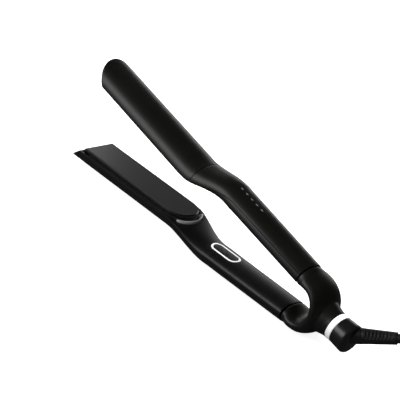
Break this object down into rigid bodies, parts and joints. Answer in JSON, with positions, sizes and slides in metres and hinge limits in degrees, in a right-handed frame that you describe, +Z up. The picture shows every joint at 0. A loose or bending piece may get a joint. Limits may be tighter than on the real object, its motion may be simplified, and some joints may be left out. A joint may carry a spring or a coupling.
{
  "type": "flat iron",
  "caption": "Hair straightening iron with two sprung arms in a forked yoke, floating heated plates, a power button and a swivelling mains cord.",
  "frame": {"origin": "centre of the flat strip along the back of the lower handle, on the surface that the iron lies on", "axes": "+X along the lower arm from the hinge to the tip, +Y across the plates to the left when looking from the hinge to the tip, +Z up from the lower arm to the upper arm"},
  "size_m": [0.4682, 0.0557, 0.0839],
  "materials": {
    "arm_shell": "soft satin black with a faintly warm tone",
    "inner_cover": "fine matte black",
    "polished_trim": "polished grey bevel",
    "heat_resin": "moulded heat-proof resin",
    "silicone": "matte silicone",
    "plated_steel": "zinc plated",
    "lead_sleeve": "braided glass sleeve",
    "plate_coating": "smooth semi-gloss ceramic coating",
    "ceramic": "fired ceramic",
    "film": "amber insulation film",
    "spring_steel": "tempered spring steel",
    "circuit_board": "printed circuit board",
    "button_cap": "matte black",
    "light_ring": "translucent white",
    "white_collar": "gloss white",
    "knob": "satin black",
    "boot": "matte flexible black",
    "cord_sheath": "smooth matte black sheath",
    "tie_strap": "hook-and-loop strap",
    "plug": "moulded black",
    "plug_metal": "bright brass"
  },
  "bodies": {
    "yoke": {"yoke": "arm_shell", "neck_collar": "white_collar", "swivel_clip": "plated_steel", "upper_hinge_pin": "plated_steel", "lower_hinge_pin": "plated_steel", "upper_hinge_spring": "spring_steel", "lower_hinge_spring": "spring_steel", "cord": "cord_sheath", "cord_hank": "cord_sheath", "cord_tie": "tie_strap", "plug_body": "plug", "plug_blades": "plug_metal"},
    "upper_arm": {"upper_barrel_shell": "arm_shell", "upper_grip_shell": "arm_shell", "upper_inner_cover": "inner_cover", "upper_plate_trim": "polished_trim", "upper_plate_cradle": "heat_resin", "upper_float_pads": "silicone", "upper_thermal_fuse": "plated_steel", "upper_cradle_screws": "plated_steel", "upper_hinge_block": "heat_resin", "upper_heater_leads": "lead_sleeve"},
    "lower_arm": {"lower_barrel_shell": "arm_shell", "lower_grip_shell": "arm_shell", "lower_inner_cover": "inner_cover", "lower_plate_trim": "polished_trim", "lower_plate_cradle": "heat_resin", "lower_float_pads": "silicone", "lower_thermal_fuse": "plated_steel", "lower_cradle_screws": "plated_steel", "lower_hinge_block": "heat_resin", "lower_heater_leads": "lead_sleeve", "control_board": "circuit_board", "power_switch": "plated_steel", "button_light_ring": "light_ring"},
    "upper_plate": {"upper_heating_plate": "plate_coating", "upper_heater": "ceramic", "upper_insulation_film": "film", "upper_heater_clip": "spring_steel"},
    "lower_plate": {"lower_heating_plate": "plate_coating", "lower_heater": "ceramic", "lower_insulation_film": "film", "lower_heater_clip": "spring_steel"},
    "button": {"power_button": "button_cap"},
    "cord_swivel": {"swivel_knob": "knob", "cord_boot": "boot"}
  },
  "joints": [
    {"name": "upper_arm_hinge", "type": "hinge", "parent": "yoke", "child": "upper_arm", "pos_m": [-0.04399, 0, 0.03428], "axis": [0, 1, 0], "range_deg": [0, 6.6], "stiffness_Nm_per_rad": 2.5, "springref_deg": -5.73},
    {"name": "lower_arm_hinge", "type": "hinge", "parent": "yoke", "child": "lower_arm", "pos_m": [-0.041, 0, 0.00845], "axis": [0, -1, 0], "range_deg": [0, 6.6], "stiffness_Nm_per_rad": 2.5, "springref_deg": -5.73},
    {"name": "upper_plate_float", "type": "slide", "parent": "upper_arm", "child": "upper_plate", "axis": [-0.2284, 0, 0.9736], "range_m": [0, 0.001], "stiffness_N_per_m": 3000, "springref_m": -0.0004, "deforming": ["upper_float_pads"]},
    {"name": "lower_plate_float", "type": "slide", "parent": "lower_arm", "child": "lower_plate", "axis": [0, 0, -1], "range_m": [0, 0.001], "stiffness_N_per_m": 3000, "springref_m": -0.0004, "deforming": ["lower_float_pads"]},
    {"name": "button_press", "type": "slide", "parent": "lower_arm", "child": "button", "axis": [0, 0, -1], "range_m": [0, 0.0005], "stiffness_N_per_m": 400, "springref_m": -0.0005},
    {"name": "cord_swivel_turn", "type": "hinge", "parent": "yoke", "child": "cord_swivel", "pos_m": [-0.07865, 0, 0.01718], "axis": [-0.9934, 0, -0.1149], "continuous": true}
  ]
}
